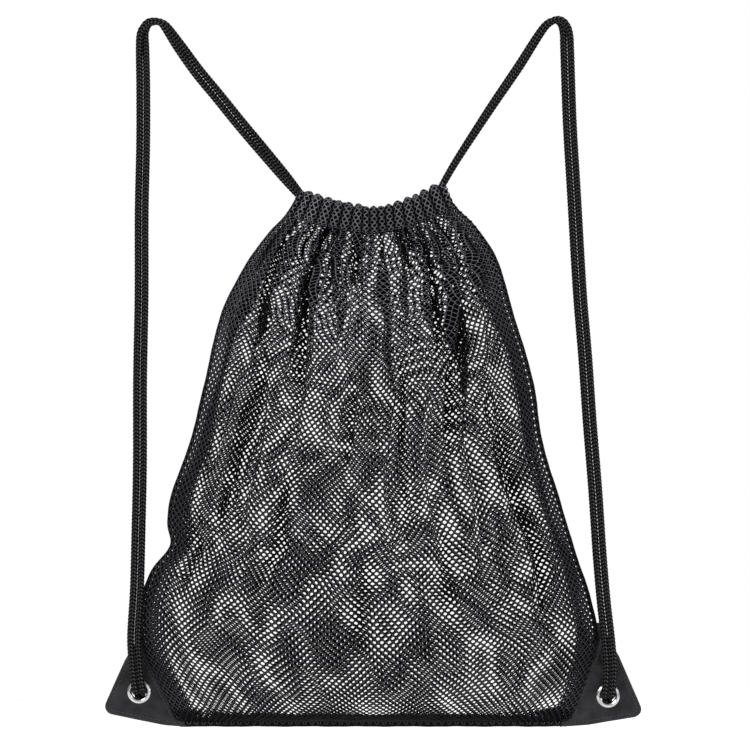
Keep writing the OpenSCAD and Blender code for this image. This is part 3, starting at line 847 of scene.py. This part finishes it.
def hem_cloth(side, top_u):
    """The casing: the net folded over the cords, from the stitch line up the outside, over and down the inside."""
    u = np.interp(np.linspace(0, 1, 961), np.linspace(0, 1, len(top_u)), top_u)[None, :]
    turn = np.linspace(-math.pi / 2, 1.5 * math.pi, 97)[:, None]
    puff = puffs(side, u)
    outer = np.cos(turn) > 0
    reach = PINCH_REACH + np.where(outer, PUFF_OUT, PUFF_IN) * puff
    height = CASING_H + PUFF_RISE * (puff - 0.6)
    lean = 0.8 * np.sin(9 * u + 2 * side) * (1 + np.sin(turn)) / 2
    out = reach * bowed(np.cos(turn), 0.75)
    up = height / 2 * (1 + bowed(np.sin(turn), 0.9))
    u, up = np.broadcast_arrays(u, up)
    points = casing_middle(side, u, up)
    points[..., 1] += side * out
    points[..., 0] += lean
    # painted shade in the pinches and on the inside, and a painted highlight that broadens where the casing puffs out
    light = np.where(outer, 0.55 + 0.75 * ease(puff * 1.3), 0.5) * np.ones(u.shape)
    points = np.concatenate([points, light[..., None]], axis=-1)
    middle = points.shape[1] // 2
    halves = [spread_evenly(part, 1, 2 * HEM_COLUMNS + 1) for part in (points[:, :middle + 1], points[:, middle:])]
    whole = spread_evenly(np.concatenate([halves[0][:, :-1], halves[1]], axis=1), 0, 4 * HEM_ROWS + 1)
    return Cloth(to_row(whole[..., :3]), whole[..., 3])


def thread_stitches(name, starts, ends, normals, radius=0.26 * MM):
    """Sewing stitches in one mesh: each is a short thread that rises out of the cloth and dips back into it."""
    rings, sides = 7, 6
    lift, arch, dip = 0.12 * MM, 0.22 * MM, 0.35 * MM
    t = np.linspace(0, 1, rings)[None, :, None]
    line = starts[:, None] * (1 - t) + ends[:, None] * t
    line = line + normals[:, None] * (lift + arch * np.sin(math.pi * t) - dip * np.abs(2 * t - 1) ** 6)
    along = unit(ends - starts)
    across = unit(np.cross(along, normals))
    upward = np.cross(across, along)
    size = radius * np.sqrt(np.maximum(1 - (2 * t - 1) ** 6, 0.02))
    angle = full_turn(sides)
    ring = (line[:, :, None] + size[:, :, None] * (np.cos(angle)[None, None, :, None] * across[:, None, None]
                                                   + np.sin(angle)[None, None, :, None] * upward[:, None, None]))
    of_each = (np.arange(len(starts)) * rings * sides)[:, None, None]
    walls = (of_each + grid_faces(rings, sides, closed=True)).reshape(-1, 4)
    caps = (of_each + fan_caps(rings, sides)).reshape(-1, 3)
    obj = make_mesh(name, ring.reshape(-1, 3), [walls, caps], THREAD)
    return obj


def make_casing(side, top_u):
    where = SIDE_NAMES[side]
    cloth = hem_cloth(side, top_u)
    for hand in (LEFT, RIGHT):
        label = HAND_NAMES[hand]
        columns = half_columns(side, hand, HEM_COLUMNS)
        hem = net(f"casing_{where}_{label}", cloth, columns, (0, HEM_ROWS), (HEM_COLUMNS, HEM_ROWS), openness=0.6)
        blend_lip(hem, hand)
        declare_net(hem, HEM_COLUMNS // 2, HEM_ROWS, f"casing_{where}")
        s_places = np.linspace(columns[0], columns[1], 25) / HEM_COLUMNS
        for row, t in (("outside", 0.045), ("inside", 0.955)):
            starts, normals, _ = cloth.at(s_places[:-1], t)
            ends, _, _ = cloth.at(s_places[:-1] + STITCH_SHARE * np.diff(s_places), t)
            thread = thread_stitches(f"casing_stitches_{row}_{where}_{label}", starts, ends, normals, 0.32 * MM)
            blend_lip(thread, hand)
        for owner in (LEFT, RIGHT):
            u = np.linspace(0, 0.95 * hand, 60)
            line = casing_middle(side, u, CHANNEL_UP[owner])
            cord, _ = braided_tube(f"drawcord_{where}_{HAND_NAMES[owner]}_{label}_half", line, around=16, step=1.0)
            blend_lip(cord, hand)
            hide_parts(f"channel_cord_{HAND_NAMES[owner]}_{where}")


# ---- patches

EYELETS = {LEFT: (-168.0, 25.5), RIGHT: (169.5, 22.5)}
PATCH_FACE, EDGE_FACE, PATCH_T = 1.9, 0.55, 1.1    # the face's distance from the middle plane, and thickness
PATCH_ROWS, PATCH_COLUMNS = 90, 56
STITCH_INSETS = (2.6, 6.2, 2.9)    # of two rows of stitches from the inner edge, and of one from the free edge
TIP_R = 6.0           # radius of the patch's rounded tip
HOLE_R = 6.3          # the patch's hole, under the eyelet's flange
EYELET_CLEAR = 10     # no stitches nearer the eyelet's middle than this


def arc(centre, start, end):
    """Points round a patch's tip, between two angles in degrees."""
    a = np.radians(np.linspace(start, end, 16))
    return np.stack([centre[0] + TIP_R * np.cos(a), centre[1] + TIP_R * np.sin(a)], axis=1)


# Inner edge along the bulge, and the free edge round the tip, both from the bottom up
PATCH_EDGES = {
    LEFT: (np.array([(-134, 0.1), (-140.5, 13), (-147, 26), (-153.5, 39), (-160, 52), (-165.5, 66)]),
           np.vstack([[(-134, 0.1), (-150, 1.4), (-170, 5.4)], arc((-186.5, 15), 255, 150),
                      [(-186, 31), (-178.3, 48), (-168, 66)]])),
    RIGHT: (np.array([(135, 0.1), (140, 13), (145, 26), (150.5, 40), (156, 54), (160.5, 75)]),
            np.vstack([[(135, 0.1), (155, 1.5), (172, 4.4)], arc((187.5, 13), -80, 28),
                       [(187, 29), (177.5, 51), (163.5, 75)]])),
}


def patch_relief(x, z, hand, side):
    """Shallow drag wrinkles that run from the eyelet to the net, in millimetres."""
    ex, ez = EYELETS[hand]
    angle, reach = np.arctan2(z - ez, x - ex), np.hypot(x - ex, z - ez)
    rays = np.sin(7 * angle + 1.7 * hand + side) + 0.6 * np.sin(12 * angle - 0.8 * side)
    slack = np.sin(0.21 * x + 0.34 * z + side) * np.sin(0.13 * z - 0.09 * x + hand)
    return 0.55 * rays * ease((reach - 9) / 10) * np.exp(-reach / 45) + 0.8 * slack * ease((reach - 9) / 12)


def dome(t):
    """The height of a quarter round, from 0 at t = 0 to 1 at t = 1 and beyond."""
    return np.sqrt(1 - (1 - np.clip(t, 0, 1)) ** 2)


def patch_grid(inner, outer):
    """Points between a patch's two edges, crowded at its top and bottom."""
    share = (1 - np.cos(np.linspace(0, math.pi, PATCH_ROWS))) / 2 * 0.35 + np.linspace(0, 1, PATCH_ROWS) * 0.65
    near, far = (np.stack([np.interp(share, np.linspace(0, 1, len(edge)), edge[:, k]) for k in range(2)], axis=1)
                 for edge in (inner, outer))
    across = np.linspace(0, 1, PATCH_COLUMNS)[None, :, None]
    return (near[:, None] * (1 - across) + far[:, None] * across).reshape(-1, 2)


def cut_hole(flat, centre):
    """The grid's faces outside the eyelet's hole; the points along the hole are moved onto it."""
    faces = grid_faces(PATCH_ROWS, PATCH_COLUMNS)
    from_eyelet = flat - centre
    distance = np.linalg.norm(from_eyelet, axis=1)
    inside = distance[faces].mean(axis=1) < HOLE_R
    rim = np.intersect1d(faces[inside].ravel(), faces[~inside].ravel())
    flat[rim] = centre + from_eyelet[rim] / distance[rim][:, None] * HOLE_R
    return faces[~inside]


def make_patch(side, hand):
    """One face of a corner patch, with a rounded free edge, grooves under the stitches and drag wrinkles."""
    inner, outer = (even_line(np.column_stack([e, np.zeros(len(e))]), 0.5)[0][:, :2] for e in PATCH_EDGES[hand])
    flat = patch_grid(inner, outer)
    faces = cut_hole(flat, np.array(EYELETS[hand]))
    to_free, to_inner = (np.min(np.linalg.norm(flat[:, None] - edge[None, ::2], axis=2), axis=1)
                         for edge in (outer, inner))
    to_edge = np.minimum(to_free, to_inner)
    groove = 0.35 * sum(bell((gap - inset) / width) for gap, inset, width in zip(
        (to_inner, to_inner, to_free), STITCH_INSETS, (0.55, 0.55, 0.5)))
    face = (EDGE_FACE + (PATCH_FACE - EDGE_FACE) * dome(to_free / 2.6) - groove
            + patch_relief(*flat.T, hand, side) * ease(to_edge / 8))
    round_edge = np.maximum(dome(to_edge / 0.5), 0.2)
    thick = np.minimum(PATCH_T, face - 0.1) * round_edge
    shell = [np.column_stack([flat[:, 0], side * (face - shrink - (1 - round_edge) * 0.3), flat[:, 1]])
             for shrink in (0, thick)]
    turned = faces if side * hand < 0 else faces[:, ::-1]
    every = np.concatenate([turned, turned[:, ::-1] + len(flat), rim_walls(turned, len(flat))])
    name = f"{HAND_NAMES[hand]}_{SIDE_NAMES[side]}"
    patch = make_mesh(f"patch_{name}", to_row(np.vstack(shell)), every, PATCH,
                      {"edge": np.tile(np.exp(-to_free / 0.8), 2)})
    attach(patch, "bag")
    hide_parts(f"corner_patch_{name}")
    make_patch_stitches(side, hand, inner, outer)


def make_patch_stitches(side, hand, inner, outer):
    """Two rows along the net and one round the free edge."""
    starts, ends = [], []
    for edge, inset, end_gap in zip((inner, inner, outer), STITCH_INSETS, (5, 12, 8)):
        line, _ = even_line(np.column_stack([edge, np.zeros(len(edge))]), 0.5)
        along = unit(np.gradient(line, axis=0))
        toward = np.column_stack([along[:, 1], -along[:, 0], np.zeros(len(line))])
        # the patch lies outside its inner edge and inside its free edge
        toward *= np.sign(np.sum(toward[:, 0])) * (hand if edge is inner else -hand)
        row, _ = even_line((line + toward * inset)[end_gap:-end_gap], 2.9)
        starts.append(row[:-1])
        ends.append(row[:-1] + STITCH_SHARE * np.diff(row, axis=0))
    starts, ends = np.vstack(starts), np.vstack(ends)
    far = np.linalg.norm(starts[:, :2] - np.array(EYELETS[hand]), axis=1) > EYELET_CLEAR
    y = np.full(far.sum(), side * (PATCH_FACE - 0.3))
    starts, ends = (to_row(np.column_stack([points[far, 0], y, points[far, 1]])) for points in (starts, ends))
    thread = thread_stitches(f"patch_stitches_{HAND_NAMES[hand]}_{SIDE_NAMES[side]}", starts, ends,
                             np.tile([0.0, side, 0.0], (far.sum(), 1)))
    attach(thread, "bag")


# ---- seams

SIDE_SEAM_H = (62, 374)                  # from under the patches up to the casing
SIDE_INSET = 0.9                         # of the binding's middle from the bag's edge
BOTTOM_LINE = [[-138.5, 0, 3.6], [139.5, 0, 3.6]]    # both ends of the bottom binding's middle line
ZIGZAG_STEP, ZIGZAG_REACH = 2.6, 2.2     # from stitch to stitch, and the length of one along the seam


def swept_band(name, line, across, upward, half_width, half_height, waviness):
    """A flat binding with rounded edges along a line in millimetres."""
    points, places = even_line(line, 1.5)
    rows, sides = len(points), 12
    angle = (np.arange(sides) + 0.5) / sides * 2 * math.pi
    out, up = bowed(np.cos(angle), 0.5), bowed(np.sin(angle), 0.5)
    wave = 1 + waviness * (np.sin(places / 2.3) * 0.5 + np.sin(places / 5.7 + 1))[:, None]
    rings = (points[:, None] + (half_width * wave * out)[..., None] * across
             + (half_height * wave * up)[..., None] * upward)
    faces = [grid_faces(rows, sides, closed=True), fan_caps(rows, sides)]
    rubbed = np.tile((np.abs(out) > 0.9) * 0.7, rows)
    band = make_mesh(name, to_row(rings.reshape(-1, 3)), faces, TAPE, {"edge": rubbed})
    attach(band, "bag")
    return band


def make_side_seam(hand):
    h = np.linspace(*SIDE_SEAM_H, 160)
    edge = np.full(h.shape, float(hand))
    line = np.column_stack([bag_x(edge, h) - hand * SIDE_INSET, 0 * h, h - rim_drop(edge, h)])
    band = swept_band(f"side_binding_{HAND_NAMES[hand]}", line, np.array([1.0, 0, 0]), np.array([0, 1.0, 0]),
                      1.5, 2.1, waviness=0.06)
    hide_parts(f"side_seam_{HAND_NAMES[hand]}")


def make_bottom_seam():
    """The binding along the bottom, with a zigzag of stitches on each face."""
    band = swept_band("bottom_binding", np.array(BOTTOM_LINE), np.array([0, 0, 1.0]), np.array([0, 1.0, 0]),
                      3.4, 1.3, waviness=0.04)
    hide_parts("bottom_seam")
    x = np.arange(-137, 138, ZIGZAG_STEP)
    upward = np.arange(len(x)) % 2
    low, high = 1.6, 5.4
    for side in (FRONT, BACK):
        y = np.full(len(x), side * 1.25)
        starts = to_row(np.column_stack([x, y, np.where(upward, high, low)]))
        ends = to_row(np.column_stack([x + ZIGZAG_REACH, y, np.where(upward, low, high)]))
        thread = thread_stitches(f"bottom_stitches_{SIDE_NAMES[side]}", starts, ends,
                                 np.tile([0.0, side, 0.0], (len(x), 1)))
        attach(thread, "bag")


# ---- knots

KNOT_Y = 9.5          # middle of the knot, behind the eyelet
KNOT_SIZE = 1.62
TIP_LEAN = 14         # degrees
TIP_L = 12.0          # length of a cord's tip below the knot, as the CAD has it
TIP_FROM, TIP_HIDDEN = 2.5, 3.4    # a tip starts this far from the knot's middle, and this much of it is in the knot
TIP_SAG = 0.9
KNOT_THICKNESS = 1.2825    # of the knot's front-to-back swing, in KNOT_SIZEs


def flare(places, length):
    """A cord's tip widens a little and then closes round its loose fibres."""
    return 1 + 0.10 * ease((places - length + 4) / 3) - 0.3 * ease((places - length + 0.8) / 0.8)


def make_knot(hand):
    """The drawcord's two ends knotted behind the eyelet, with their frayed tips below the knot."""
    where = HAND_NAMES[hand]
    x, z = EYELETS[hand]
    t = np.linspace(0, 2 * math.pi, 400)
    line = np.stack([x + KNOT_SIZE * (np.sin(t) + 2 * np.sin(2 * t)),
                     KNOT_Y - KNOT_THICKNESS * KNOT_SIZE * np.sin(3 * t),
                     z + KNOT_SIZE * (np.cos(t) - 2 * np.cos(2 * t))], axis=1)
    knot, _ = braided_tube(f"knotted_cord_{where}", line, radius=2.25, around=20, step=0.6)
    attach(knot, "bag")
    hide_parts(f"knot_{where}")
    for label, lean in (("a", -TIP_LEAN), ("b", TIP_LEAN)):
        along = np.array([math.sin(math.radians(lean)), 0.0, -math.cos(math.radians(lean))])
        s = np.linspace(0, 1, 30)[:, None]
        start = np.array([x, KNOT_Y, z]) + TIP_FROM * along
        line = start + s * along * (TIP_L + TIP_HIDDEN) + np.sin(math.pi * s) * np.array([0, TIP_SAG, 0])
        tip, _ = braided_tube(f"cord_tip_{where}_{label}", line, around=20, step=0.5, shrink=flare)
        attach(tip, "bag")
        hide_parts(f"cord_tips_{where}")
        make_fray(f"cord_fray_{where}_{label}", line[-1], along, seed=3 + hand + (label == "b"))


def make_fray(name, end, along, seed):
    """Loose fibres at a cut end of the cord."""
    rng = np.random.default_rng(seed)
    count = 46
    angle, reach = rng.uniform(0, 2 * math.pi, count), 1.9 * np.sqrt(rng.uniform(0, 1, count))
    side = np.cross(along, [0, 1, 0])
    front = np.array([0, 1.0, 0])
    radial = np.cos(angle)[:, None] * side + np.sin(angle)[:, None] * front
    roots = end + reach[:, None] * radial - 0.4 * along
    length = rng.uniform(0.8, 2.2, count)[:, None]
    tips = roots + length * (along + radial * rng.uniform(0.1, 0.6, count)[:, None])
    ring = np.array([[math.cos(a), math.sin(a)] for a in (0, 2.1, 4.2)])
    vertices = np.concatenate([
        (roots[:, None] + 0.16 * (ring[None, :, :1] * side + ring[None, :, 1:] * front)),
        tips[:, None]], axis=1).reshape(-1, 3)
    one = np.array([[0, 1, 3], [1, 2, 3], [2, 0, 3], [2, 1, 0]])
    faces = (np.arange(count)[:, None, None] * 4 + one[None]).reshape(-1, 3)
    # the fibres take the cord's palest colour all over, its painted highlight
    fray = make_mesh(name, to_row(vertices), faces, CORD, {"ridge": np.ones(len(vertices))}, smooth=False)
    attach(fray, "bag")


# ---- the whole bag

for side in (FRONT, BACK):
    cloth, top_u = panel_cloth(side)
    make_net_panel(side, cloth)
    make_casing(side, top_u)
    for hand in (LEFT, RIGHT):
        make_patch(side, hand)
for hand in (LEFT, RIGHT):
    make_side_seam(hand)
    make_knot(hand)
make_bottom_seam()


# ---- CAD nodes that stay

for name in ("eyelet_left", "eyelet_right", "eyelet_washer_left", "eyelet_washer_right"):
    kept_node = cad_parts[name]
    kept_node.data.materials.clear()
    kept_node.data.materials.append(METAL)


# ---- stage and light

def make_floor():
    """A round pale floor a little below the hanging bag."""
    radius, drop, count = 1.7, 0.11, 96
    angle = full_turn(count)
    z = np.full(count, CAD_BOX[0][2] - drop)
    rim = np.column_stack([radius * np.cos(angle), radius * np.sin(angle), z])
    vertices = np.vstack([rim, [[0, 0, z[0]]]])
    faces = np.column_stack([np.arange(count), (np.arange(count) + 1) % count, np.full(count, count)])
    look = Look("floor_white", Roughness=0.9, Emission_Color=(1, 1, 1, 1), Emission_Strength=0.25)
    look.link(look.ramp(look.noise(3, 2), (0.3, 0.93), (0.7, 0.95)), "Base Color")
    make_mesh("studio_floor", vertices, faces, look.material, smooth=False)


MIDDLE = (0, 0, -0.28)


def area_light(name, place, size, energy):
    """A round soft light that points at the middle of the bag."""
    data = bpy.data.lights.new(name, "AREA")
    data.shape = "DISK"
    data.size = size
    data.energy = energy
    light = bpy.data.objects.new(name, data)
    light.location = place
    light.rotation_euler = (Vector(MIDDLE) - Vector(place)).to_track_quat("-Z", "Y").to_euler()
    bpy.context.collection.objects.link(light)


def make_world():
    """A white studio: seen as plain white, with a softer light on the bag."""
    world = bpy.data.worlds.new("studio")
    bpy.context.scene.world = world
    world.use_nodes = True
    tree = world.node_tree
    soft = tree.nodes["Background"]
    soft.inputs["Strength"].default_value = 0.22
    soft.inputs["Color"].default_value = (1, 1, 1, 1)
    bright = add_node(tree, "ShaderNodeBackground", Strength=1.0, Color=(1, 1, 1, 1))
    both = tree.nodes.new("ShaderNodeMixShader")
    seen = tree.nodes.new("ShaderNodeLightPath").outputs["Is Camera Ray"]
    for output, socket in zip((seen, soft.outputs[0], bright.outputs[0]), both.inputs):
        tree.links.new(output, socket)
    tree.links.new(both.outputs[0], tree.nodes["World Output"].inputs["Surface"])


make_floor()
make_world()
area_light("key", (-1.3, -1.9, 0.9), size=1.3, energy=34)
area_light("fill", (1.7, -1.6, 0.2), size=1.5, energy=14)
area_light("top", (0.2, 0.3, 1.5), size=1.2, energy=16)
area_light("behind", (0.6, 2.2, 0.6), size=1.5, energy=20)
bpy.context.scene.view_settings.view_transform = "Standard"
